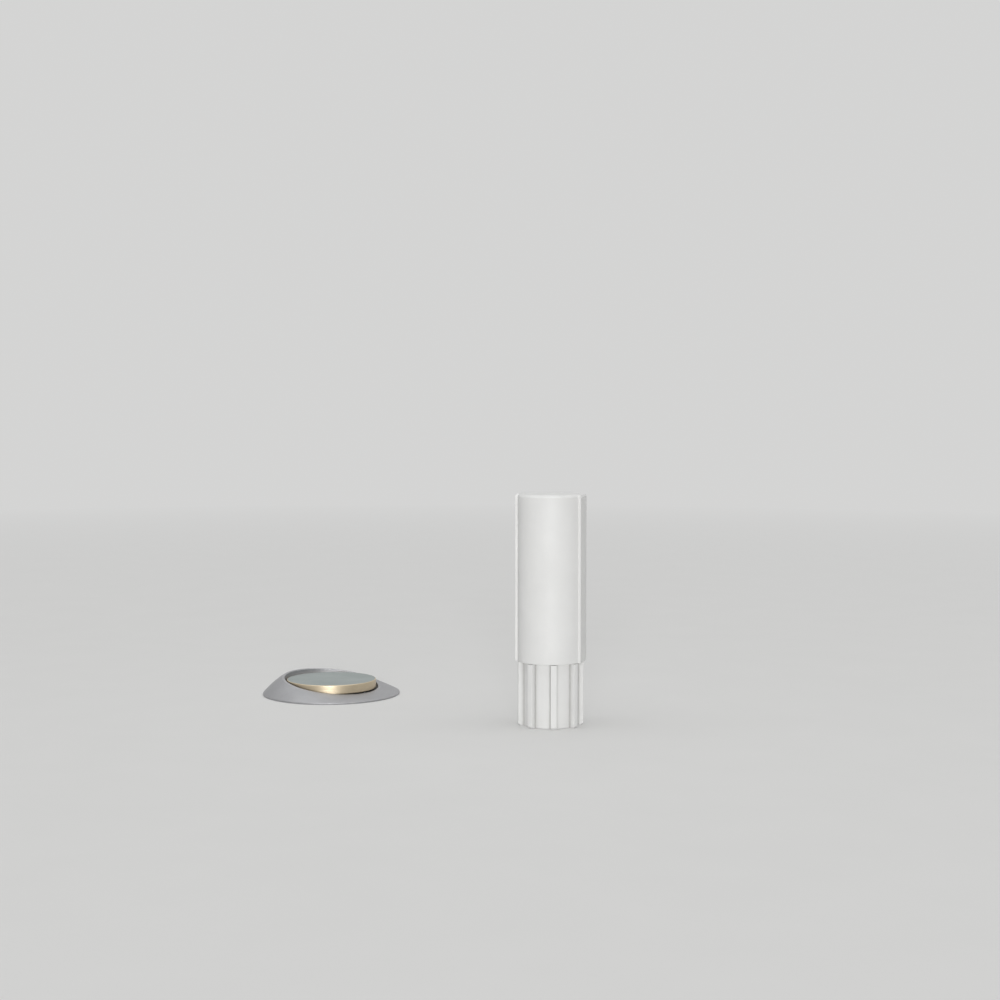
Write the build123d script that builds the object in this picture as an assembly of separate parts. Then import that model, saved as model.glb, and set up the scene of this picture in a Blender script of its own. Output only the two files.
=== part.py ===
from build123d import *
import os
from math import cos, radians, sin, tan

# Magnetic door stop: a low floor catch with a steel strike disc, and an upright magnet unit with a
# drop bolt. Millimetres. The origin is the centre of the catch's underside. The catch slopes down
# towards +X, where the magnet unit stands, and +Z is up. Heights are above the floor.

# Floor catch: the dish
BASE_RADIUS = 15.3
EDGE_HEIGHT = 0.35
RIM_CENTRE_HEIGHT = 2.78
RIM_SLOPE = 8.5
RIM_LAND = 0.55
FLANK_CROWN = 0.18
DISH_FLOOR = 1.0
FOOT_EDGE_ROUND = 0.15
RIM_ROUND = 0.2

# Floor catch: the disc, its seat and the adhesive pad
DISC_RADIUS = 10.0
DISC_THICKNESS = 2.0
DISC_EDGE_BREAK = 0.2
DISC_SIDE_GAP = 0.42
DAMPER_THICKNESS = 0.35
DAMPER_INSET = 0.6
DAMPER_HOLE_RADIUS = 4.0
PAD_THICKNESS = 0.3
PAD_BORDER = 1.5
PAD_SIDE_GAP = 0.1

# Magnet unit: where its axis stands beside the catch
UNIT_X = 61.5
UNIT_Y = 2.5

# Magnet unit: the sleeve that guides the stem
SLEEVE_RADIUS = 6.7
SLEEVE_LENGTH = 34.0
SLEEVE_WALL = 1.3
GUIDE_LENGTH = 4.0
KEY_RISE = 0.2
KEY_WIDTH = 4.2
SLEEVE_TOP_CHAMFER = 0.4
END_CAP_THICKNESS = 3.0
END_CAP_EDGE_BREAK = 0.2

# Magnet unit: the ribbed bolt head and its stem
HEAD_LENGTH = 13.0
RIB_COUNT = 8
RIB_SETBACK = 0.05
RIB_HEIGHT = 1.15
RIB_WIDTH = 1.25
FOOT_CHAMFER = 0.3
STEM_RADIUS = 3.5

# Magnet unit: the magnet in the head
MAGNET_RADIUS = 4.0
MAGNET_LENGTH = 10.0
MAGNET_CAP_THICKNESS = 1.2

# Magnet unit: the return spring and what holds it on the stem
SPRING_WIRE_RADIUS = 0.22
SPRING_TURNS = 7
SPRING_CLOSED_GAP = 0.1
RETAINER_THICKNESS = 1.5
SCREW_RADIUS = 1.1
SCREW_GRIP = 7.0
SCREW_HEAD_RADIUS = 2.1
SCREW_HEAD_HEIGHT = 1.4
SCREW_DRIVE_SIZE = 1.3
SCREW_DRIVE_DEPTH = 0.7

# Clearances
SLIDE_CLEARANCE = 0.08
INSERT_CLEARANCE = 0.03
SEAT_GAP = 0.1
SPRING_END_GAP = 0.1
WASHER_SIDE_GAP = 0.3
CAP_HEADROOM = 3.2

# Radii and heights that several pieces share
DISC_SEAT = DISH_FLOOR + DAMPER_THICKNESS
RECESS_RADIUS = DISC_RADIUS + DISC_SIDE_GAP
CHAMBER_RADIUS = SLEEVE_RADIUS - SLEEVE_WALL
RIB_RADIUS = SLEEVE_RADIUS - RIB_SETBACK
RIB_PITCH = 360 / RIB_COUNT
SLEEVE_FOOT = HEAD_LENGTH + SEAT_GAP
SLEEVE_TOP = SLEEVE_FOOT + SLEEVE_LENGTH
CHAMBER_FLOOR = SLEEVE_FOOT + GUIDE_LENGTH
SCREW_TOP = SLEEVE_TOP - END_CAP_THICKNESS - CAP_HEADROOM
STEM_TOP = SCREW_TOP - SCREW_HEAD_HEIGHT - RETAINER_THICKNESS


def post(radius, low, high):
    """Round solid about the Z axis between two heights."""
    upright = Cylinder(radius, high - low, align=(Align.CENTER, Align.CENTER, Align.MIN))
    return Pos(0, 0, low) * upright


def end_edges(solid, height):
    """Edges of a solid that lie in the level plane at a height."""
    return solid.edges().filter_by_position(Axis.Z, height, height)


def sloped_circle(radius, height, slope):
    """Disc face whose plane tips down towards +X by a slope in degrees."""
    along = (cos(radians(slope)), 0, -sin(radians(slope)))
    normal = (sin(radians(slope)), 0, cos(radians(slope)))
    return Plane(origin=(0, 0, height), x_dir=along, z_dir=normal) * Circle(radius)


def floor_base():
    """Skewed dish: upright edge, crowned flank up to a rounded sloping rim, disc recess and pad recess."""
    rim_radius = RECESS_RADIUS + RIM_LAND
    waist_radius = (BASE_RADIUS + rim_radius) / 2
    waist_height = (EDGE_HEIGHT + RIM_CENTRE_HEIGHT) / 2 + FLANK_CROWN
    foot = sloped_circle(BASE_RADIUS, EDGE_HEIGHT, 0)
    waist = sloped_circle(waist_radius, waist_height, RIM_SLOPE / 2)
    rim = sloped_circle(rim_radius, RIM_CENTRE_HEIGHT, RIM_SLOPE)
    edge = post(BASE_RADIUS, 0, EDGE_HEIGHT)
    edge = fillet(end_edges(edge, 0), FOOT_EDGE_ROUND)
    dish = edge + loft([foot, waist, rim])
    dish -= post(RECESS_RADIUS, DISH_FLOOR, DISH_FLOOR + BASE_RADIUS)
    on_land = (0, RECESS_RADIUS + RIM_LAND / 2, RIM_CENTRE_HEIGHT)
    land = dish.faces().sort_by_distance(on_land)[0]
    *mouth, brow = land.edges().sort_by(SortBy.LENGTH)
    # An edge of the land is rounded where its low side has a wall below the land to round onto
    fall = tan(radians(RIM_SLOPE))
    mouth_wall = RIM_CENTRE_HEIGHT - RECESS_RADIUS * fall - DISH_FLOOR
    waist_low = waist_height - waist_radius * sin(radians(RIM_SLOPE / 2))
    brow_wall = RIM_CENTRE_HEIGHT - waist_radius * fall - waist_low
    rounded = mouth if mouth_wall > RIM_ROUND else []
    rounded += [brow] if brow_wall > 0 else []
    if rounded:
        dish = fillet(rounded, RIM_ROUND)
    return dish - post(BASE_RADIUS - PAD_BORDER, 0, PAD_THICKNESS)


def floor_pad():
    """Adhesive pad, flush with the underside of the dish."""
    return post(BASE_RADIUS - PAD_BORDER - PAD_SIDE_GAP, 0, PAD_THICKNESS)


def damper_ring():
    """Soft seat of the disc, set in from its edge."""
    ring = post(DISC_RADIUS - DAMPER_INSET, DISH_FLOOR, DISC_SEAT)
    return ring - post(DAMPER_HOLE_RADIUS, DISH_FLOOR, DISC_SEAT)


def strike_disc():
    """Turned steel disc with both edges broken."""
    disc_top = DISC_SEAT + DISC_THICKNESS
    disc = post(DISC_RADIUS, DISC_SEAT, disc_top)
    return chamfer(end_edges(disc, DISC_SEAT) + end_edges(disc, disc_top), DISC_EDGE_BREAK)


def drop_bolt():
    """Ribbed head with a magnet pocket from below, and a plain stem with a screw hole from above."""
    head = post(RIB_RADIUS - RIB_HEIGHT, 0, HEAD_LENGTH)
    rib = Box(RIB_RADIUS, RIB_WIDTH, HEAD_LENGTH, align=(Align.MIN, Align.CENTER, Align.MIN))
    for index in range(RIB_COUNT):
        head += Rot(0, 0, index * RIB_PITCH) * rib
    outline = post(RIB_RADIUS, 0, HEAD_LENGTH)
    outline = chamfer(end_edges(outline, 0), FOOT_CHAMFER)
    pocket = post(MAGNET_RADIUS + INSERT_CLEARANCE, 0, MAGNET_CAP_THICKNESS + MAGNET_LENGTH)
    bolt = (head & outline) - pocket + post(STEM_RADIUS, HEAD_LENGTH, STEM_TOP)
    return bolt - post(SCREW_RADIUS + INSERT_CLEARANCE, STEM_TOP - SCREW_GRIP, STEM_TOP)


def magnet():
    """Bar magnet at the blind end of its pocket."""
    return post(MAGNET_RADIUS, MAGNET_CAP_THICKNESS, MAGNET_CAP_THICKNESS + MAGNET_LENGTH)


def magnet_cap():
    """Plug that closes the magnet pocket flush with the foot."""
    return post(MAGNET_RADIUS, 0, MAGNET_CAP_THICKNESS)


def guide_sleeve():
    """Sleeve with a guide bore for the stem, a spring chamber above it and two long keys outside."""
    key_height = SLEEVE_FOOT + SLEEVE_LENGTH / 2
    keys = Rot(0, 0, RIB_PITCH / 2) * Box(2 * (SLEEVE_RADIUS + KEY_RISE), KEY_WIDTH, SLEEVE_LENGTH)
    sleeve = post(SLEEVE_RADIUS, SLEEVE_FOOT, SLEEVE_TOP) + Pos(0, 0, key_height) * keys
    sleeve = chamfer(end_edges(sleeve, SLEEVE_TOP), SLEEVE_TOP_CHAMFER)
    sleeve -= post(CHAMBER_RADIUS, CHAMBER_FLOOR, SLEEVE_TOP)
    return sleeve - post(STEM_RADIUS + SLIDE_CLEARANCE, SLEEVE_FOOT, CHAMBER_FLOOR)


def end_cap():
    """Plug that closes the spring chamber, flush with the top of the sleeve."""
    cap = post(CHAMBER_RADIUS - INSERT_CLEARANCE, SLEEVE_TOP - END_CAP_THICKNESS, SLEEVE_TOP)
    return chamfer(end_edges(cap, SLEEVE_TOP), END_CAP_EDGE_BREAK)


def return_spring():
    """Coil round the stem between the guide and the retainer: half turns, with a closed turn at each end."""
    coil_radius = (STEM_RADIUS + CHAMBER_RADIUS) / 2
    end_margin = SPRING_WIRE_RADIUS + SPRING_END_GAP
    half_turns = 2 * SPRING_TURNS
    closed_rise = SPRING_WIRE_RADIUS + SPRING_CLOSED_GAP / 2
    open_rise = (STEM_TOP - CHAMBER_FLOOR - 2 * end_margin - 4 * closed_rise) / (half_turns - 4)
    side, height = 1, CHAMBER_FLOOR + end_margin
    arcs = []
    for index in range(half_turns):
        rise = open_rise if 2 <= index < half_turns - 2 else closed_rise
        first = Vector(side * coil_radius, 0, height)
        last = Vector(-side * coil_radius, 0, height + rise)
        crest = (first + last) / 2 + Vector(0, side * (last - first).length / 2, 0)
        arcs.append(ThreePointArc(first, crest, last))
        side, height = -side, height + rise
    path = Wire(arcs)
    wire = Plane(origin=path @ 0, z_dir=path % 0) * Circle(SPRING_WIRE_RADIUS)
    return sweep(wire, path=path)


def spring_retainer():
    """Washer on the end of the stem."""
    washer_top = STEM_TOP + RETAINER_THICKNESS
    washer = post(CHAMBER_RADIUS - WASHER_SIDE_GAP, STEM_TOP, washer_top)
    return washer - post(SCREW_RADIUS + INSERT_CLEARANCE, STEM_TOP, washer_top)


def retainer_screw():
    """Screw with a round head and a square drive that clamps the washer to the stem."""
    head_foot = STEM_TOP + RETAINER_THICKNESS
    screw = post(SCREW_RADIUS, STEM_TOP - SCREW_GRIP, head_foot)
    screw += post(SCREW_HEAD_RADIUS, head_foot, SCREW_TOP)
    drive = Box(SCREW_DRIVE_SIZE, SCREW_DRIVE_SIZE, 2 * SCREW_DRIVE_DEPTH)
    return screw - Pos(0, 0, SCREW_TOP) * drive


def main():
    """Builds both halves and writes one file a piece."""
    os.makedirs("parts", exist_ok=True)
    for piece in (floor_base, floor_pad, damper_ring, strike_disc):
        export_step(piece(), f"parts/{piece.__name__}.step")
    unit_place = Pos(UNIT_X, UNIT_Y, 0)
    unit_pieces = (
        drop_bolt,
        magnet,
        magnet_cap,
        guide_sleeve,
        end_cap,
        return_spring,
        spring_retainer,
        retainer_screw,
    )
    for piece in unit_pieces:
        export_step(unit_place * piece(), f"parts/{piece.__name__}.step")


main()
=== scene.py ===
"""Magnetic door stop: a low floor catch with a steel strike disc, and an upright magnet unit.

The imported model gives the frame, in metres: the origin is the centre of the catch's underside, +Z is up,
and the catch slopes down towards +X, where the magnet unit stands. Each sub-assembly is a class that
skins its own pieces over rings of points and dresses them with one of the finishes.
"""

import logging
import math
from dataclasses import dataclass, field
from enum import Enum
from typing import Any, Sequence

import bpy
import numpy as np
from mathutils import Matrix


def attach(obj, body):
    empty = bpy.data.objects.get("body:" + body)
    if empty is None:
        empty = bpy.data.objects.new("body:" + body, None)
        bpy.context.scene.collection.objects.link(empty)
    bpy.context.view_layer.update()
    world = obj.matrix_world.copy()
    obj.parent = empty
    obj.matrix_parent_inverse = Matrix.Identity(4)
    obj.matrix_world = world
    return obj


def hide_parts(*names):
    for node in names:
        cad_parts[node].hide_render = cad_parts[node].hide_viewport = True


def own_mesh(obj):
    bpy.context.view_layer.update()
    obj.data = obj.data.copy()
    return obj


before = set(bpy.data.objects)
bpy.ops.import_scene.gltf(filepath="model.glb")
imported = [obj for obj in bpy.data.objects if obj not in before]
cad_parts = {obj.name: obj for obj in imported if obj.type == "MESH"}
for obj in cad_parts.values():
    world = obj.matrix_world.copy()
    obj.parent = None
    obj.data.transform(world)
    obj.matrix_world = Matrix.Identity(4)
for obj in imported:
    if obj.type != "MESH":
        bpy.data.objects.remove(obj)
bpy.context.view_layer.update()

LOG = logging.getLogger("door_stop")

Colour = tuple[float, float, float]
Corner = tuple[np.ndarray | float, float, float]
Socket = bpy.types.NodeSocket

FLOOR_BODY = "floor_side"
SLEEVE_BODY = "sleeve"
CATCH_CENTRE = (0.0, 0.0)
UNIT_CENTRE = (0.0615, 0.0025)
TURN = 2 * math.pi

# Widths of the roundings that several pieces share
SHARP = 0.0
FINE = 0.0001
SOFT = 0.0002

# A rounding takes at most this share of a side
LARGEST_SHARE = 0.42
# The ring that holds a flat lies outside its rounding by this share of it
HOLD_SHARE = 0.1
# The fine relief moves the roughness up and down by this much
GRAIN_ROUGHNESS = 0.05


class Ends(Enum):
    """How a stack of rings is closed."""

    POLES = "the first and last rings close on their middle points"
    LOOP = "the last ring joins the first"


class Pattern(Enum):
    """Fine relief that a finish carries."""

    BLASTED = "even pits of blasted metal"
    MOULDED = "faint swell of moulded plastic"
    TURNED = "rings left by a lathe round the piece's axis"
    PORES = "open cells of foam"


def ring(radius: np.ndarray | float, height: np.ndarray | float, angles: np.ndarray) -> np.ndarray:
    """Closed ring about the Z axis: (radius cos a, radius sin a, height) for each angle a.

    Args:
        radius: One radius, or one for each angle.
        height: One height, or one for each angle.
        angles: Angles from +X, one turn in all.

    Returns:
        Points of shape (angles, 3).
    """
    level = np.broadcast_to(height, angles.shape)
    return np.stack((radius * np.cos(angles), radius * np.sin(angles), level), axis=-1)


def even_angles(count: int) -> np.ndarray:
    """One turn in equal steps, without its end point."""
    return np.linspace(0.0, TURN, count, endpoint=False)


def smooth_step(x: np.ndarray) -> np.ndarray:
    """Smooth rise 3x^2 - 2x^3, with x held between 0 and 1."""
    held = np.clip(x, 0.0, 1.0)
    return 3 * held**2 - 2 * held**3


def quads(place: np.ndarray) -> np.ndarray:
    """Quads (i, j), (i+1, j), (i+1, j+1), (i, j+1) over a grid of point numbers, with j running round."""
    turned = np.roll(place, -1, axis=1)
    return np.stack((place[:-1], place[1:], turned[1:], turned[:-1]), axis=-1).reshape(-1, 4)


def soften(rings: np.ndarray, widths: Sequence[float], steps: int = 6) -> tuple[np.ndarray, np.ndarray]:
    """Rounds the corners of a profile that is carried round as rings.

    A corner C between neighbours P and N is replaced by the curve (1-t)^2 A + 2t(1-t) C + t^2 B, where A and
    B lie towards P and N at the corner's width. A ring just outside each end holds the flat beside it.

    Args:
        rings: Corner rings of shape (corners, angles, 3).
        widths: Width of the rounding at each corner; SHARP leaves a ring as it is.
        steps: Spans along each rounding.

    Returns:
        The rings with every rounding in place, and each ring's share of edge wear from 0 to 1.
    """
    rows, wear = [], []
    along = np.linspace(0.0, 1.0, steps + 1)[:, None, None]
    for index, width in enumerate(widths):
        corner = rings[index]
        if width == SHARP:
            rows.append(corner[None])
            wear.append(np.zeros(1))
            continue
        ends = []
        for neighbour in (rings[index - 1], rings[(index + 1) % len(rings)]):
            side = neighbour - corner
            length = np.linalg.norm(side, axis=1, keepdims=True)
            ends.append(corner + side / length * np.minimum(width, LARGEST_SHARE * length))
        curve = (1 - along) ** 2 * ends[0] + 2 * along * (1 - along) * corner + along**2 * ends[1]
        before, after = ((end + HOLD_SHARE * (end - corner))[None] for end in ends)
        rows += [before, curve, after]
        wear += [np.zeros(1), np.sin(np.pi * along[:, 0, 0]), np.zeros(1)]
    return np.concatenate(rows), np.concatenate(wear)


def turn(profile: Sequence[Corner], angles: np.ndarray) -> tuple[np.ndarray, np.ndarray]:
    """Carries a profile round the Z axis and rounds its corners.

    Args:
        profile: Radius, height and width of rounding of each corner; a radius may differ by angle.
        angles: Angles from +X, one turn in all.

    Returns:
        The rings, and each ring's share of edge wear.
    """
    rings = np.stack([ring(radius, height, angles) for radius, height, _ in profile])
    return soften(rings, [width for _, _, width in profile])


def skin(
    name: str,
    rings: np.ndarray,
    wear: np.ndarray,
    ends: Ends,
    centre: Sequence[float],
    painted_shade: np.ndarray | float = 0.0,
) -> bpy.types.Object:
    """Makes a closed smooth mesh over a stack of rings.

    Quads join neighbouring rings, and triangles close an end on its middle point. The faces are turned
    outwards when the sum of a . (b x c) over their triangles comes out below zero.

    Args:
        name: Name of the new piece.
        rings: Points of shape (rings, angles, 3) about the Z axis.
        wear: Edge wear of each ring, kept as the point attribute "wear".
        ends: How the first and last rings are closed.
        centre: Where the Z axis stands, as (x, y).
        painted_shade: Painted shade of each point, of shape (rings, angles), kept as the point attribute
            "painted_shade".

    Returns:
        The new object, at the origin, in the scene's collection.
    """
    count, around = rings.shape[:2]
    points = rings.reshape(-1, 3) + np.array((*centre, 0.0))
    place = np.arange(count * around).reshape(count, around)
    faces = quads(np.concatenate((place, place[:1])) if ends is Ends.LOOP else place)
    fans = np.empty((0, 3), dtype=int)
    if ends is Ends.POLES:
        poles = np.stack((points[place[0]].mean(axis=0), points[place[-1]].mean(axis=0)))
        first = np.stack((np.full(around, len(points)), place[0], np.roll(place[0], -1)), axis=-1)
        last = np.stack((np.full(around, len(points) + 1), np.roll(place[-1], -1), place[-1]), axis=-1)
        points = np.concatenate((points, poles))
        fans = np.concatenate((first, last))
    triangles = np.concatenate((faces[:, (0, 1, 2)], faces[:, (0, 2, 3)], fans))
    a, b, c = (points[triangles[:, k]] - points.mean(axis=0) for k in range(3))
    if np.einsum("ij,ij->", a, np.cross(b, c)) < 0:
        faces, fans = faces[:, ::-1], fans[:, ::-1]
    mesh = bpy.data.meshes.new(name)
    mesh.from_pydata(points.tolist(), [], faces.tolist() + fans.tolist())
    mesh.polygons.foreach_set("use_smooth", np.ones(len(mesh.polygons), dtype=bool))
    # The second attribute is painted shade: darkening where shade falls, which the material paints in
    for label, amounts in (("wear", wear[:, None]), ("painted_shade", painted_shade)):
        grid = np.broadcast_to(amounts, (count, around)).ravel()
        values = np.concatenate((grid, np.zeros(len(points) - grid.size)))
        mesh.attributes.new(label, "FLOAT", "POINT").data.foreach_set("value", values)
    mesh.update()
    piece = bpy.data.objects.new(name, mesh)
    bpy.context.scene.collection.objects.link(piece)
    return piece


@dataclass
class Wiring:
    """Adds and joins the nodes of one node tree."""

    tree: bpy.types.NodeTree

    def add(self, kind: str, inputs: dict[Any, Any] | None = None, **settings: Any) -> bpy.types.Node:
        """Adds a node.

        Args:
            kind: Blender's name of the node type, without its ShaderNode prefix if it has one.
            inputs: Values or output sockets for the node's inputs, by name or number.
            settings: Properties of the node.

        Returns:
            The new node.
        """
        node = self.tree.nodes.new(kind if kind.startswith("NodeGroup") else f"ShaderNode{kind}")
        for key, value in settings.items():
            setattr(node, key, value)
        for key, value in (inputs or {}).items():
            if isinstance(value, Socket):
                self.tree.links.new(value, node.inputs[key])
            else:
                node.inputs[key].default_value = value
        return node

    def math(self, operation: str, *values: Any) -> Socket:
        """Output of a Math node on numbers or sockets."""
        return self.add("Math", dict(enumerate(values)), operation=operation).outputs[0]

    def spread(self, value: Socket, low: float, high: float) -> Socket:
        """Output of a Map Range node that carries 0 to 1 onto low to high."""
        return self.add("MapRange", {"Value": value, "To Min": low, "To Max": high}).outputs["Result"]

    def rise(self, value: Socket, low: float, high: float) -> Socket:
        """Output of a Map Range node that carries low to high onto 0 to 1."""
        return self.add("MapRange", {"Value": value, "From Min": low, "From Max": high}).outputs["Result"]

    def blend(self, share: Any, first: Any, second: Any) -> Socket:
        """Number output of a Mix node between two numbers."""
        return self.add("Mix", {0: share, 2: first, 3: second}, data_type="FLOAT").outputs[0]

    def mix(self, share: Any, first: Any, second: Any) -> Socket:
        """Colour output of a Mix node between two colours."""
        return self.add("Mix", {0: share, 6: first, 7: second}, data_type="RGBA").outputs[2]

    def noise(self, place: Socket, frequency: Any, detail: float, roughness: float = 0.5) -> Socket:
        """Number output of a Noise Texture node."""
        given = {"Vector": place, "Scale": frequency, "Detail": detail, "Roughness": roughness}
        return self.add("TexNoise", given).outputs[0]

    def axis_distance(self, place: Socket) -> Socket:
        """Distance of a place from the Z axis: the length of (x, y, 0)."""
        flat = self.add("VectorMath", {0: place, 1: (1.0, 1.0, 0.0)}, operation="MULTIPLY").outputs[0]
        return self.add("VectorMath", {0: flat}, operation="LENGTH").outputs["Value"]


@dataclass
class EffectLibrary:
    """Shader node groups that the finishes share, each built once."""

    groups: dict[str, bpy.types.NodeTree] = field(default_factory=dict)

    def __post_init__(self) -> None:
        """Builds every group."""
        self.groups["smudge"] = self.smudge()
        self.groups["edge_wear"] = self.edge_wear()
        self.groups["painted_corner_shade"] = self.painted_corner_shade()
        self.groups["fine_relief"] = self.fine_relief()
        self.groups["lathe_rings"] = self.lathe_rings()
        self.groups["foam_cells"] = self.foam_cells()

    @staticmethod
    def open_group(
        name: str, numbers: dict[str, float], output: str
    ) -> tuple[Wiring, bpy.types.Node, bpy.types.Node]:
        """Starts a node group with a Vector input, number inputs and one number output.

        Args:
            name: Name of the group.
            numbers: Default of each number input, by name.
            output: Name of the output.

        Returns:
            The wiring of the group, its input node and its output node.
        """
        tree = bpy.data.node_groups.new(name, "ShaderNodeTree")
        tree.interface.new_socket("Vector", in_out="INPUT", socket_type="NodeSocketVector")
        for label, default in numbers.items():
            socket = tree.interface.new_socket(label, in_out="INPUT", socket_type="NodeSocketFloat")
            socket.default_value = default
        tree.interface.new_socket(output, in_out="OUTPUT", socket_type="NodeSocketFloat")
        wiring = Wiring(tree)
        return wiring, wiring.add("NodeGroupInput"), wiring.add("NodeGroupOutput")

    def smudge(self) -> bpy.types.NodeTree:
        """Broad cloudy mask of handling: noise, stretched to fill 0 to 1."""
        wiring, given, result = self.open_group("smudge", {"Frequency": 120.0}, "Mask")
        broad = wiring.noise(given.outputs["Vector"], given.outputs["Frequency"], detail=3.0, roughness=0.6)
        wiring.tree.links.new(wiring.rise(broad, low=0.3, high=0.7), result.inputs["Mask"])
        return wiring.tree

    def edge_wear(self) -> bpy.types.NodeTree:
        """Mask of rubbed edges: the piece's wear attribute, broken up by noise."""
        wiring, given, result = self.open_group("edge_wear", {"Wear": 0.0, "Frequency": 700.0}, "Mask")
        noise = wiring.noise(given.outputs["Vector"], given.outputs["Frequency"], detail=2.0)
        mask = wiring.math("MULTIPLY", wiring.rise(noise, low=0.35, high=0.6), given.outputs["Wear"])
        wiring.tree.links.new(mask, result.inputs["Mask"])
        return wiring.tree

    def painted_corner_shade(self) -> bpy.types.NodeTree:
        """Mask of painted corner shade: the piece's painted_shade attribute, thinned to half where noise is
        low.
        """
        wiring, given, result = self.open_group("painted_corner_shade", {"Painted Shade": 0.0, "Frequency": 500.0}, "Mask")
        noise = wiring.noise(given.outputs["Vector"], given.outputs["Frequency"], detail=2.0)
        mask = wiring.math("MULTIPLY", wiring.spread(noise, low=0.5, high=1.0), given.outputs["Painted Shade"])
        wiring.tree.links.new(mask, result.inputs["Mask"])
        return wiring.tree

    def fine_relief(self) -> bpy.types.NodeTree:
        """Height of an even fine surface: noise at the grain size plus a softer noise at five times it."""
        wiring, given, result = self.open_group("fine_relief", {"Frequency": 6000.0}, "Height")
        fine = wiring.noise(given.outputs["Vector"], given.outputs["Frequency"], detail=2.0, roughness=0.6)
        slow = wiring.math("MULTIPLY", given.outputs["Frequency"], 0.2)
        soft = wiring.noise(given.outputs["Vector"], slow, detail=1.0)
        mean = wiring.math("MULTIPLY", wiring.math("ADD", fine, soft), 0.5)
        wiring.tree.links.new(mean, result.inputs["Height"])
        return wiring.tree

    def lathe_rings(self) -> bpy.types.NodeTree:
        """Height of turned rings: noise along the distance from the axis, even all round."""
        wiring, given, result = self.open_group("lathe_rings", {"Frequency": 9000.0}, "Height")
        reach = wiring.axis_distance(given.outputs["Vector"])
        settings = {"W": reach, "Scale": given.outputs["Frequency"], "Detail": 3.0, "Roughness": 0.7}
        lines = wiring.add("TexNoise", settings, noise_dimensions="1D")
        wiring.tree.links.new(lines.outputs[0], result.inputs["Height"])
        return wiring.tree

    def foam_cells(self) -> bpy.types.NodeTree:
        """Height of open foam cells: distance to the nearest cell middle."""
        wiring, given, result = self.open_group("foam_cells", {"Frequency": 2500.0}, "Height")
        settings = {"Vector": given.outputs["Vector"], "Scale": given.outputs["Frequency"]}
        cells = wiring.add("TexVoronoi", settings)
        wiring.tree.links.new(cells.outputs["Distance"], result.inputs["Height"])
        return wiring.tree

    def place(self, wiring: Wiring, name: str, inputs: dict[str, Any]) -> Socket:
        """Puts a shared effect into a material.

        Args:
            wiring: Wiring of the material.
            name: Name of the effect.
            inputs: Values or sockets for its inputs.

        Returns:
            The effect's output.
        """
        return wiring.add("Group", inputs, node_tree=self.groups[name]).outputs[0]


@dataclass(frozen=True)
class Finish:
    """One surface finish: two close tones, two roughnesses, a fine relief and rubbed edges."""

    name: str
    tone: Colour
    clouded_tone: Colour
    worn_tone: Colour
    roughness: tuple[float, float]
    worn_roughness: float
    metallic: float
    pattern: Pattern
    grain: float
    depth: float
    bump: float
    smudge_frequency: float = 120.0
    centre: tuple[float, float] = (0.0, 0.0)

    def relief(self, wiring: Wiring, effects: EffectLibrary, place: Socket) -> Socket:
        """Height of the finish's fine pattern.

        Args:
            wiring: Wiring of the material.
            effects: The shared effects.
            place: Object coordinates.

        Returns:
            The height's socket.
        """
        names = {
            Pattern.BLASTED: "fine_relief",
            Pattern.MOULDED: "fine_relief",
            Pattern.TURNED: "lathe_rings",
            Pattern.PORES: "foam_cells",
        }
        to_axis = (-self.centre[0], -self.centre[1], 0.0)
        centred = wiring.add("Mapping", {"Vector": place, "Location": to_axis})
        given = {"Vector": centred.outputs[0], "Frequency": 1.0 / self.grain}
        return effects.place(wiring, names[self.pattern], given)

    def refine(
        self, wiring: Wiring, effects: EffectLibrary, place: Socket, sockets: tuple[Socket, ...]
    ) -> tuple[Socket, ...]:
        """Place for a second finish on part of the piece; a plain finish keeps its sockets.

        Args:
            wiring: Wiring of the material.
            effects: The shared effects.
            place: Object coordinates.
            sockets: Colour, roughness and height of the plain finish.

        Returns:
            Colour, roughness and height as the shader uses them.
        """
        return sockets

    def material(self, effects: EffectLibrary) -> bpy.types.Material:
        """Builds the material.

        Args:
            effects: The shared effects.

        Returns:
            A node material on Object coordinates.
        """
        material = bpy.data.materials.new(f"{self.name}_finish")
        material.use_nodes = True
        wiring = Wiring(material.node_tree)
        shader = material.node_tree.nodes["Principled BSDF"]
        place = wiring.add("TexCoord").outputs["Object"]
        cloud = effects.place(wiring, "smudge", {"Vector": place, "Frequency": self.smudge_frequency})
        worn = wiring.add("Attribute", attribute_name="wear").outputs["Fac"]
        rubbed = effects.place(wiring, "edge_wear", {"Vector": place, "Wear": worn})
        height = self.relief(wiring, effects, place)
        clouded = wiring.mix(cloud, (*self.tone, 1.0), (*self.clouded_tone, 1.0))
        grain = wiring.spread(height, -GRAIN_ROUGHNESS, GRAIN_ROUGHNESS)
        grainy = wiring.math("ADD", wiring.spread(cloud, *self.roughness), grain)
        colour = wiring.mix(rubbed, clouded, (*self.worn_tone, 1.0))
        rough = wiring.blend(rubbed, grainy, self.worn_roughness)
        colour, rough, height = self.refine(wiring, effects, place, (colour, rough, height))
        bump = wiring.add("Bump", {"Height": height, "Distance": self.depth, "Strength": self.bump})
        for label, socket in (("Base Color", colour), ("Roughness", rough), ("Normal", bump.outputs[0])):
            material.node_tree.links.new(socket, shader.inputs[label])
        shader.inputs["Metallic"].default_value = self.metallic
        return material


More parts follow.
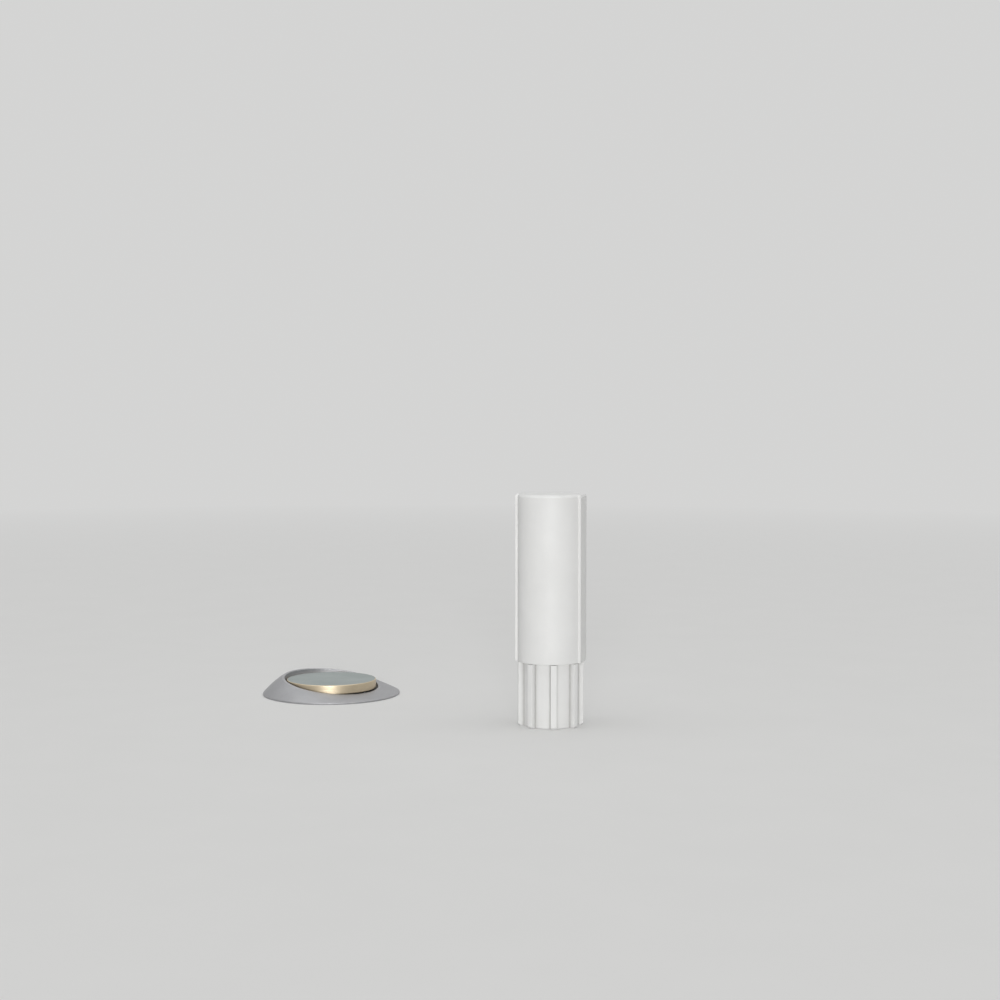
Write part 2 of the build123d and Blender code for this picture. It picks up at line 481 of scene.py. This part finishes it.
@dataclass(frozen=True)
class TurnedRimFinish(Finish):
    """Satin face with a bright turned rim beyond a radius, warmed by painted reflection, and fine lines
    round the edge.
    """

    rim_radius: float = 0.00985
    rim_fade: float = 0.00005
    # Bright polished rim, with a warm tint that is a painted reflection
    polished_rim_painted_warm_tone: Colour = (0.62, 0.525, 0.38)
    rim_roughness: float = 0.40
    line_pitch: float = 0.00012
    line_relief: float = 2.0
    line_stretch: float = 0.02

    def refine(
        self, wiring: Wiring, effects: EffectLibrary, place: Socket, sockets: tuple[Socket, ...]
    ) -> tuple[Socket, ...]:
        """Turns the outside bright, with a painted warm reflection and lines at even heights.

        Args:
            wiring: Wiring of the material.
            effects: The shared effects.
            place: Object coordinates.
            sockets: Colour, roughness and height of the satin face.

        Returns:
            Colour, roughness and height of face and rim together.
        """
        colour, rough, height = sockets
        reach = wiring.axis_distance(place)
        rim = wiring.rise(reach, self.rim_radius - self.rim_fade, self.rim_radius)
        squeeze = (self.line_stretch, self.line_stretch, 1.0)
        level = wiring.add("VectorMath", {0: place, 1: squeeze}, operation="MULTIPLY").outputs[0]
        lines = effects.place(wiring, "fine_relief", {"Vector": level, "Frequency": 1.0 / self.line_pitch})
        low, high = self.rim_roughness - GRAIN_ROUGHNESS, self.rim_roughness + GRAIN_ROUGHNESS
        # The rim's colour carries the painted warm reflection
        return (
            wiring.mix(rim, colour, (*self.polished_rim_painted_warm_tone, 1.0)),
            wiring.blend(rim, rough, wiring.spread(lines, low, high)),
            wiring.blend(rim, height, wiring.math("MULTIPLY", lines, self.line_relief)),
        )


@dataclass(frozen=True)
class CornerShadeFinish(Finish):
    """Pale finish with painted shade darkening its corners."""

    # Colour and roughness of the painted shade in the corners
    painted_shade_tone: Colour = (0.36, 0.355, 0.34)
    shaded_corner_roughness: float = 0.8

    def refine(
        self, wiring: Wiring, effects: EffectLibrary, place: Socket, sockets: tuple[Socket, ...]
    ) -> tuple[Socket, ...]:
        """Paints shade into the corners, and dulls them, by the piece's painted_shade attribute.

        Args:
            wiring: Wiring of the material.
            effects: The shared effects.
            place: Object coordinates.
            sockets: Colour, roughness and height of the finish without the painted shade.

        Returns:
            Colour, roughness and height with the painted shade on.
        """
        colour, rough, height = sockets
        # Painted shade in the corners, read from the piece's attribute
        shade_attribute = wiring.add("Attribute", attribute_name="painted_shade").outputs["Fac"]
        painted_shade = effects.place(wiring, "painted_corner_shade", {"Vector": place, "Painted Shade": shade_attribute})
        return (
            wiring.mix(painted_shade, colour, (*self.painted_shade_tone, 1.0)),
            wiring.blend(painted_shade, rough, self.shaded_corner_roughness),
            height,
        )


SATIN_METAL = Finish(
    "satin_metal",
    tone=(0.375, 0.377, 0.388),
    clouded_tone=(0.342, 0.344, 0.355),
    worn_tone=(0.42, 0.42, 0.43),
    roughness=(0.52, 0.60),
    worn_roughness=0.42,
    metallic=1.0,
    pattern=Pattern.BLASTED,
    grain=0.00018,
    depth=0.00008,
    bump=0.6,
)
# Strike disc steel, whose rim carries a painted warm reflection
STRIKE_STEEL = TurnedRimFinish(
    "polished_steel",
    tone=(0.345, 0.374, 0.369),
    clouded_tone=(0.314, 0.344, 0.338),
    worn_tone=(0.66, 0.64, 0.60),
    roughness=(0.66, 0.74),
    worn_roughness=0.36,
    metallic=1.0,
    pattern=Pattern.TURNED,
    grain=0.00025,
    depth=0.00004,
    bump=0.6,
)
# White plastic, with painted shade in its corners
WHITE_PLASTIC = CornerShadeFinish(
    "white_plastic",
    tone=(0.80, 0.80, 0.79),
    clouded_tone=(0.765, 0.765, 0.755),
    worn_tone=(0.84, 0.84, 0.83),
    roughness=(0.46, 0.56),
    worn_roughness=0.42,
    metallic=0.0,
    pattern=Pattern.MOULDED,
    grain=0.00035,
    depth=0.00004,
    bump=0.6,
)
BLACK_RUBBER = Finish(
    "black_rubber",
    tone=(0.022, 0.022, 0.023),
    clouded_tone=(0.032, 0.032, 0.032),
    worn_tone=(0.05, 0.05, 0.05),
    roughness=(0.62, 0.75),
    worn_roughness=0.6,
    metallic=0.0,
    pattern=Pattern.BLASTED,
    grain=0.0002,
    depth=0.00003,
    bump=0.4,
)
ADHESIVE_FOAM = Finish(
    "adhesive_foam",
    tone=(0.055, 0.055, 0.058),
    clouded_tone=(0.08, 0.08, 0.083),
    worn_tone=(0.1, 0.1, 0.1),
    roughness=(0.7, 0.85),
    worn_roughness=0.7,
    metallic=0.0,
    pattern=Pattern.PORES,
    grain=0.0004,
    depth=0.00006,
    bump=0.5,
)
PLATED_MAGNET = Finish(
    "plated_magnet",
    tone=(0.60, 0.58, 0.54),
    clouded_tone=(0.52, 0.50, 0.47),
    worn_tone=(0.7, 0.68, 0.64),
    roughness=(0.16, 0.26),
    worn_roughness=0.1,
    metallic=1.0,
    pattern=Pattern.TURNED,
    grain=0.0002,
    depth=0.00001,
    bump=0.2,
    centre=UNIT_CENTRE,
)
SPRING_STEEL = Finish(
    "spring_steel",
    tone=(0.42, 0.42, 0.43),
    clouded_tone=(0.34, 0.34, 0.35),
    worn_tone=(0.55, 0.55, 0.56),
    roughness=(0.22, 0.32),
    worn_roughness=0.2,
    metallic=1.0,
    pattern=Pattern.BLASTED,
    grain=0.0001,
    depth=0.00001,
    bump=0.2,
)


@dataclass
class Workshop:
    """Dresses pieces, and makes each finish's material once."""

    effects: EffectLibrary = field(default_factory=EffectLibrary)
    made: dict[str, bpy.types.Material] = field(default_factory=dict)

    def dress(self, piece: bpy.types.Object, finish: Finish) -> None:
        """Gives a piece one finish on all its material slots."""
        if finish.name not in self.made:
            self.made[finish.name] = finish.material(self.effects)
        if not piece.data.materials:
            piece.data.materials.append(None)
        for slot in piece.material_slots:
            slot.material = self.made[finish.name]

    def fit(self, piece: bpy.types.Object, node: str, finish: Finish, body: str) -> bpy.types.Object:
        """Dresses a new piece and puts it in the place of a CAD node.

        Args:
            piece: The new piece.
            node: CAD node that it stands for.
            finish: Its finish.
            body: CAD body that it rides on.

        Returns:
            The piece.
        """
        self.dress(piece, finish)
        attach(piece, body)
        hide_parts(node)
        return piece


@dataclass
class FloorCatch:
    """Skewed metal dish on an adhesive pad, with a level steel disc on a soft ring inside it."""

    base_radius: float = 0.0153
    edge_height: float = 0.00035
    rim_height: float = 0.00278
    rim_slope: float = 8.5
    rim_land: float = 0.00055
    flank_crown: float = 0.00018
    flank_spans: int = 10
    foot_round: float = 0.00015
    dish_floor: float = 0.001
    recess_radius: float = 0.01042
    pad_recess_radius: float = 0.0138
    pad_thickness: float = 0.0003
    disc_radius: float = 0.01
    disc_foot: float = 0.00135
    disc_top: float = 0.00335
    angles: np.ndarray = field(default_factory=lambda: even_angles(360))

    def sloped_ring(self, radius: float, height: float, slope: float) -> np.ndarray:
        """Ring whose plane tips down towards +X: (r cos a cos s, r sin a, h - r cos a sin s)."""
        tip = math.radians(slope)
        flat = ring(radius, height, self.angles)
        flat[:, 2] -= flat[:, 0] * math.sin(tip)
        flat[:, 0] *= math.cos(tip)
        return flat

    def flank(self) -> np.ndarray:
        """Crowned flank from the upright edge to the sloping rim.

        Each point runs on the parabola through its foot, waist and rim points, with the weights
        (2t-1)(t-1), 4t(1-t) and t(2t-1) for t from 0 to 1. The waist slopes half as much as the rim.

        Returns:
            Rings of shape (flank_spans + 1, angles, 3).
        """
        rim_radius = self.recess_radius + self.rim_land
        waist_height = (self.edge_height + self.rim_height) / 2 + self.flank_crown
        foot = self.sloped_ring(self.base_radius, self.edge_height, 0.0)
        waist = self.sloped_ring((self.base_radius + rim_radius) / 2, waist_height, self.rim_slope / 2)
        rim = self.sloped_ring(rim_radius, self.rim_height, self.rim_slope)
        t = np.linspace(0.0, 1.0, self.flank_spans + 1)[:, None, None]
        return (2 * t - 1) * (t - 1) * foot + 4 * t * (1 - t) * waist + t * (2 * t - 1) * rim

    def dish(self) -> bpy.types.Object:
        """Dish: pad recess, underside, upright edge, flank, rim land and the recess for the disc."""
        brim = ring(self.recess_radius, 0.0, self.angles)
        brim[:, 2] = self.rim_height - brim[:, 0] * math.tan(math.radians(self.rim_slope))
        rings = np.stack([
            ring(self.pad_recess_radius, self.pad_thickness, self.angles),
            ring(self.pad_recess_radius, 0.0, self.angles),
            ring(self.base_radius, 0.0, self.angles),
            *self.flank(),
            brim,
            ring(self.recess_radius, self.dish_floor, self.angles),
        ])
        flank_widths = [FINE, *[SHARP] * (self.flank_spans - 1), SOFT]
        rows, wear = soften(rings, [SHARP, FINE, self.foot_round, *flank_widths, SOFT, SHARP])
        return skin("dish", rows, wear, Ends.POLES, CATCH_CENTRE)

    def disc(self) -> bpy.types.Object:
        """Strike disc with rounded edges."""
        profile = [
            (self.disc_radius / 2, self.disc_foot, SHARP),
            (self.disc_radius, self.disc_foot, SOFT),
            (self.disc_radius, self.disc_top, SOFT),
            (self.disc_radius / 2, self.disc_top, SHARP),
        ]
        rows, wear = turn(profile, self.angles)
        return skin("disc", rows, wear, Ends.POLES, CATCH_CENTRE)

    def build(self, workshop: Workshop) -> list[bpy.types.Object]:
        """Builds, dresses and mounts the catch.

        Args:
            workshop: Where the finishes are made.

        Returns:
            The new pieces.
        """
        workshop.dress(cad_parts["damper_ring"], BLACK_RUBBER)
        workshop.dress(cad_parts["floor_pad"], ADHESIVE_FOAM)
        return [
            workshop.fit(self.dish(), "floor_base", SATIN_METAL, FLOOR_BODY),
            workshop.fit(self.disc(), "strike_disc", STRIKE_STEEL, FLOOR_BODY),
        ]


@dataclass
class MagnetUnit:
    """Ribbed bolt with a magnet in its head, sprung in a keyed sleeve."""

    centre: tuple[float, float] = UNIT_CENTRE
    sleeve_radius: float = 0.0067
    sleeve_foot: float = 0.0131
    sleeve_top: float = 0.0471
    chamber_radius: float = 0.0054
    chamber_floor: float = 0.0171
    guide_radius: float = 0.00358
    key_face: float = 0.0069
    key_half_width: float = 0.0021
    key_direction: float = 22.5
    top_chamfer: float = 0.0004
    cap_radius: float = 0.00537
    cap_foot: float = 0.0441
    gate_radius: float = 0.0009
    gate_floor_radius: float = 0.0007
    gate_depth: float = 0.00012
    head_length: float = 0.013
    core_radius: float = 0.0055
    rib_radius: float = 0.00665
    rib_half_width: float = 0.000625
    rib_count: int = 8
    foot_chamfer: float = 0.0003
    foot_chamfer_low: float = 0.00015
    foot_chamfer_high: float = 0.0004
    pocket_radius: float = 0.00403
    pocket_top: float = 0.0112
    stem_radius: float = 0.0035
    stem_top: float = 0.038
    screw_hole_radius: float = 0.00113
    screw_hole_foot: float = 0.031
    screw_hole_round: float = 0.00005
    magnet_cap_radius: float = 0.004
    magnet_cap_top: float = 0.0012
    magnet_cap_round: float = 0.00015
    coil_radius: float = 0.00445
    wire_radius: float = 0.00022
    coil_turns: int = 7
    coil_end_gap: float = 0.0001
    coil_closed_gap: float = 0.0001
    coil_points: int = 64
    wire_points: int = 16
    travel: float = 0.008
    outline_round: float = 0.00014
    moulded_draft: float = 0.00005
    draft_points: int = 13
    crown_points: int = 5
    valley_points: int = 9
    face_points: int = 13
    barrel_points: int = 49
    painted_shade_reach: float = 0.00018
    plain_angles: np.ndarray = field(default_factory=lambda: even_angles(192))

    def rib_outline(self) -> tuple[np.ndarray, np.ndarray, np.ndarray]:
        """Outline of the ribbed head.

        The radius is core + rise * S, where S falls smoothly from 1 on a rib to 0 beside it across the
        draft of the rib's side, as 3x^2 - 2x^3. The angles are dense across each side and sparse elsewhere.
        The painted shade is (1 - S)^3 exp(-d / reach), with d the distance along the core from the rib's
        root.

        Returns:
            The angles of one turn, and the radius and the painted shade at each.
        """
        middle = (self.core_radius + self.rib_radius) / 2
        pitch = TURN / self.rib_count
        half, slack = self.rib_half_width / middle, self.moulded_draft / middle
        valley = np.linspace(half + slack, pitch / 2, self.valley_points)[1:-1]
        side = np.linspace(half - slack, half + slack, self.draft_points)
        crown = np.linspace(0.0, half - slack, self.crown_points)[:-1]
        right = np.concatenate((crown, side, valley))
        offsets = np.concatenate((-right[:0:-1], right))
        angles = (np.arange(self.rib_count)[:, None] * pitch + offsets).ravel()
        rise = smooth_step((half + slack - np.abs(offsets)) / (2 * slack))
        radii = self.core_radius + (self.rib_radius - self.core_radius) * rise
        # Painted shade in the rib roots, fading along the core
        away = np.maximum(np.abs(offsets) - half - slack, 0.0) * self.core_radius
        painted_shade = (1 - rise) ** 3 * np.exp(-away / self.painted_shade_reach)
        return angles, np.tile(radii, self.rib_count), np.tile(painted_shade, self.rib_count)

    def key_outline(self) -> tuple[np.ndarray, np.ndarray]:
        """Outline of the sleeve with its two keys.

        The radius is the sleeve's, and across a key it is face / cos(a) from the key's middle. The two are
        joined across the key's side by 3x^2 - 2x^3, with dense angles there.

        Returns:
            The angles of one turn and the radius at each.
        """
        edge = math.atan2(self.key_half_width, self.key_face)
        slack = self.moulded_draft / self.key_face / 2
        face = np.linspace(0.0, edge - slack, self.face_points)[:-1]
        side = np.linspace(edge - slack, edge + slack, self.draft_points)
        barrel = np.linspace(edge + slack, math.pi / 2, self.barrel_points)[1:-1]
        right = np.concatenate((face, side, barrel))
        offsets = np.concatenate((-right[:0:-1], right, [math.pi / 2]))
        rise = smooth_step((edge + slack - np.abs(offsets)) / (2 * slack))
        flat = self.key_face / np.cos(np.minimum(np.abs(offsets), edge + slack))
        radii = self.sleeve_radius + (flat - self.sleeve_radius) * rise
        starts = math.radians(self.key_direction) + np.array((0.0, math.pi))
        return (starts[:, None] + offsets).ravel(), np.tile(radii, 2)

    def bolt(self) -> bpy.types.Object:
        """Bolt: magnet pocket, chamfered foot, ribbed head, stem and screw hole, as one closed skin."""
        angles, outline, painted_shade = self.rib_outline()
        foot = np.minimum(outline, self.rib_radius - self.foot_chamfer)
        profile = [
            (self.pocket_radius, self.pocket_top, SHARP),
            (self.pocket_radius, 0.0, FINE),
            (foot, 0.0, FINE),
            (foot, self.foot_chamfer_low, SHARP),
            (outline, self.foot_chamfer_high, FINE),
            (outline, self.head_length, self.outline_round),
            (self.stem_radius, self.head_length, SOFT),
            (self.stem_radius, self.stem_top, SOFT),
            (self.screw_hole_radius, self.stem_top, self.screw_hole_round),
            (self.screw_hole_radius, self.screw_hole_foot, SHARP),
        ]
        rows, wear = turn(profile, angles)
        # Only the head carries the painted shade in its rib roots
        on_head = np.hypot(rows[..., 0], rows[..., 1]) > (self.pocket_radius + self.core_radius) / 2
        return skin("bolt", rows, wear, Ends.POLES, self.centre, painted_shade * on_head)

    def sleeve(self) -> bpy.types.Object:
        """Sleeve: guide bore, keyed outside with a chamfered top, and the spring chamber."""
        angles, outline = self.key_outline()
        profile = [
            (self.guide_radius, self.sleeve_foot, SOFT),
            (outline, self.sleeve_foot, self.outline_round),
            (outline, self.sleeve_top - self.top_chamfer, SOFT),
            (outline - self.top_chamfer, self.sleeve_top, SOFT),
            (self.chamber_radius, self.sleeve_top, FINE),
            (self.chamber_radius, self.chamber_floor, SOFT),
            (self.guide_radius, self.chamber_floor, FINE),
        ]
        rows, wear = turn(profile, angles)
        return skin("keyed_sleeve", rows, wear, Ends.LOOP, self.centre)

    def cap(self) -> bpy.types.Object:
        """End cap with a rounded edge and the small dimple that its moulding gate leaves."""
        profile = [
            (self.cap_radius, self.cap_foot, SHARP),
            (self.cap_radius, self.sleeve_top, SOFT),
            (self.gate_radius, self.sleeve_top, FINE),
            (self.gate_floor_radius, self.sleeve_top - self.gate_depth, SHARP),
        ]
        rows, wear = turn(profile, self.plain_angles)
        return skin("top_cap", rows, wear, Ends.POLES, self.centre)

    def plug(self) -> bpy.types.Object:
        """Plug under the magnet, rounded where it meets the foot."""
        profile = [
            (self.magnet_cap_radius, self.magnet_cap_top, SHARP),
            (self.magnet_cap_radius, 0.0, self.magnet_cap_round),
            (self.magnet_cap_radius / 2, 0.0, SHARP),
        ]
        rows, wear = turn(profile, self.plain_angles)
        return skin("magnet_plug", rows, wear, Ends.POLES, self.centre)

    def coil(self) -> bpy.types.Object:
        """Return spring: a round wire carried along a helix with a closed turn at each end.

        The helix is (R cos a, R sin a, h), with h rising a wire and a gap over each end turn and evenly over
        the others. A point of the wire is the helix point plus w (cos b n + sin b m), where n points
        outwards and m lies across both n and the helix.

        Returns:
            The new piece.
        """
        margin = self.wire_radius + self.coil_end_gap
        low, high = self.chamber_floor + margin, self.stem_top - margin
        closed = 2 * self.wire_radius + self.coil_closed_gap
        turns = np.linspace(0.0, self.coil_turns, self.coil_turns * self.coil_points + 1)
        knots = (0.0, 1.0, self.coil_turns - 1.0, self.coil_turns)
        levels = (low, low + closed, high - closed, high)
        heights = np.interp(turns, knots, levels)
        path = ring(self.coil_radius, heights, TURN * turns)
        outward = ring(1.0, 0.0, TURN * turns)
        run = np.gradient(path, axis=0)
        across = np.cross(run / np.linalg.norm(run, axis=1, keepdims=True), outward)
        around = even_angles(self.wire_points)[None, :, None]
        offset = np.cos(around) * outward[:, None] + np.sin(around) * across[:, None]
        rows = path[:, None] + self.wire_radius * offset
        return skin("coil", rows, np.zeros(len(rows)), Ends.POLES, self.centre)

    def build(self, workshop: Workshop) -> list[bpy.types.Object]:
        """Builds, dresses and mounts the unit.

        Args:
            workshop: Where the finishes are made.

        Returns:
            The new pieces.
        """
        coil = workshop.fit(self.coil(), "return_spring", SPRING_STEEL, FLOOR_BODY)
        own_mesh(coil)
        workshop.dress(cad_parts["magnet"], PLATED_MAGNET)
        workshop.dress(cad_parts["spring_retainer"], SPRING_STEEL)
        workshop.dress(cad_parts["retainer_screw"], SPRING_STEEL)
        return [
            coil,
            workshop.fit(self.bolt(), "drop_bolt", WHITE_PLASTIC, FLOOR_BODY),
            workshop.fit(self.plug(), "magnet_cap", WHITE_PLASTIC, FLOOR_BODY),
            workshop.fit(self.sleeve(), "guide_sleeve", WHITE_PLASTIC, SLEEVE_BODY),
            workshop.fit(self.cap(), "end_cap", WHITE_PLASTIC, SLEEVE_BODY),
        ]


@dataclass(frozen=True)
class Softbox:
    """Square area light."""

    name: str
    place: tuple[float, float, float]
    size: float
    power: float

    def hang(self, target: Sequence[float]) -> None:
        """Puts the light up, facing a point: tilted by atan2(level, drop), then turned about Z.

        Args:
            target: Point that it faces.
        """
        data = bpy.data.lights.new(self.name, "AREA")
        data.size, data.energy = self.size, self.power
        light = bpy.data.objects.new(self.name, data)
        light.location = self.place
        light.visible_camera = False
        aim = np.subtract(target, self.place)
        level = math.hypot(aim[0], aim[1])
        light.rotation_euler = (math.atan2(level, -aim[2]), 0.0, math.atan2(-aim[0], aim[1]))
        bpy.context.scene.collection.objects.link(light)


@dataclass
class Studio:
    """Pale floor, soft lights and the camera."""

    floor_radii: tuple[float, ...] = (0.02, 0.1, 0.4, 1.5, 4.0)
    floor_points: int = 96
    floor_drop: float = 0.00002
    standing_gap: float = 0.0004
    floor_tone: Colour = (0.82, 0.82, 0.81)
    floor_mottle: float = 0.97
    mottle_frequency: float = 60.0
    floor_roughness: float = 0.7
    floor_gloss: float = 0.2
    backdrop_tone: Colour = (0.66, 0.66, 0.655)
    fade_start: float = 0.12
    fade_end: float = 0.7
    fill_strength: float = 0.26
    middle: tuple[float, float, float] = (0.03, 0.0, 0.015)
    key: Softbox = Softbox("key", (1.28, -1.49, 0.30), size=0.5, power=16.2)
    overhead: Softbox = Softbox("overhead", (0.03, 0.0, 0.95), size=1.6, power=7.5)
    camera_place: tuple[float, float, float] = (0.2940, -0.2826, 0.0674)
    camera_azimuth: float = 40.8
    camera_pitch: float = 3.36
    lens: float = 65.5
    sensor: float = 36.0
    clip_start: float = 0.01
    clip_end: float = 20.0

    def seen_directly(self, wiring: Wiring) -> Socket:
        """Mask of camera, glossy and transmission rays."""
        path = wiring.add("LightPath")
        shiny = wiring.math("MAXIMUM", path.outputs["Is Glossy Ray"], path.outputs["Is Transmission Ray"])
        return wiring.math("MAXIMUM", path.outputs["Is Camera Ray"], shiny)

    def floor(self) -> bpy.types.Object:
        """Level disc of floor, facing up: (r cos a, r sin a, -drop) for a few radii r."""
        angles = even_angles(self.floor_points)
        points = np.concatenate([ring(radius, -self.floor_drop, angles) for radius in self.floor_radii])
        place = np.arange(len(points)).reshape(len(self.floor_radii), len(angles))
        mesh = bpy.data.meshes.new("floor")
        mesh.from_pydata(points.tolist(), [], quads(place).tolist() + [place[0].tolist()])
        floor = bpy.data.objects.new("floor", mesh)
        bpy.context.scene.collection.objects.link(floor)
        floor.data.materials.append(self.floor_material())
        return floor

    def floor_material(self) -> bpy.types.Material:
        """Matt pale floor that fades into the backdrop's tone with distance.

        It is clear from below and to a face that stands on it, so that undersides are lit in views from
        below.

        Returns:
            The material.
        """
        material = bpy.data.materials.new("pale_floor")
        material.use_nodes = True
        tree = material.node_tree
        wiring = Wiring(tree)
        shader = tree.nodes["Principled BSDF"]
        place = wiring.add("TexCoord").outputs["Object"]
        darker = tuple(self.floor_mottle * value for value in self.floor_tone)
        noise = wiring.noise(place, self.mottle_frequency, detail=3.0)
        colour = wiring.mix(noise, (*self.floor_tone, 1.0), (*darker, 1.0))
        tree.links.new(colour, shader.inputs["Base Color"])
        shader.inputs["Roughness"].default_value = self.floor_roughness
        shader.inputs["Specular IOR Level"].default_value = self.floor_gloss
        reach = wiring.add("VectorMath", {0: place}, operation="LENGTH").outputs["Value"]
        far = wiring.rise(reach, self.fade_start, self.fade_end)
        glow = wiring.add("Emission", {"Color": (*self.backdrop_tone, 1.0)})
        share = wiring.math("MULTIPLY", far, self.seen_directly(wiring))
        faded = wiring.add("MixShader", {0: share, 1: shader.outputs[0], 2: glow.outputs[0]})
        back = wiring.add("NewGeometry").outputs["Backfacing"]
        close = wiring.math("LESS_THAN", wiring.add("LightPath").outputs["Ray Length"], self.standing_gap)
        hidden = wiring.math("MAXIMUM", back, close)
        clear = wiring.add("BsdfTransparent")
        sided = wiring.add("MixShader", {0: hidden, 1: faded.outputs[0], 2: clear.outputs[0]})
        tree.links.new(sided.outputs[0], tree.nodes["Material Output"].inputs["Surface"])
        return material

    def world(self) -> None:
        """World that shows the backdrop's tone and lights with a weaker fill."""
        world = bpy.data.worlds.new("backdrop")
        world.use_nodes = True
        bpy.context.scene.world = world
        tree = world.node_tree
        wiring = Wiring(tree)
        white = (1.0, 1.0, 1.0, 1.0)
        fill = wiring.add("Background", {"Color": white, "Strength": self.fill_strength}).outputs[0]
        seen = wiring.add("Background", {"Color": (*self.backdrop_tone, 1.0), "Strength": 1.0}).outputs[0]
        mixed = wiring.add("MixShader", {0: self.seen_directly(wiring), 1: fill, 2: seen})
        tree.links.new(mixed.outputs[0], tree.nodes["World Output"].inputs["Surface"])

    def camera(self) -> None:
        """Camera at the photograph's height and viewing angle."""
        data = bpy.data.cameras.new("camera")
        data.lens, data.sensor_width = self.lens, self.sensor
        data.clip_start, data.clip_end = self.clip_start, self.clip_end
        camera = bpy.data.objects.new("camera", data)
        camera.location = self.camera_place
        tilt, swing = math.radians(90 - self.camera_pitch), math.radians(self.camera_azimuth)
        camera.rotation_euler = (tilt, 0.0, swing)
        bpy.context.scene.collection.objects.link(camera)
        bpy.context.scene.camera = camera

    def build(self) -> None:
        """Sets the stage."""
        bpy.context.scene.view_settings.view_transform = "Standard"
        self.camera()
        self.world()
        self.floor()
        self.key.hang(self.middle)
        self.overhead.hang(self.middle)


def main() -> None:
    """Builds the stage and both halves of the door stop."""
    logging.basicConfig(level=logging.INFO, format="%(name)s: %(message)s")
    Studio().build()
    workshop = Workshop()
    for half in (FloorCatch(), MagnetUnit()):
        for piece in half.build(workshop):
            LOG.info("%s: %d faces", piece.name, len(piece.data.polygons))


if __name__ == "__main__":
    main()
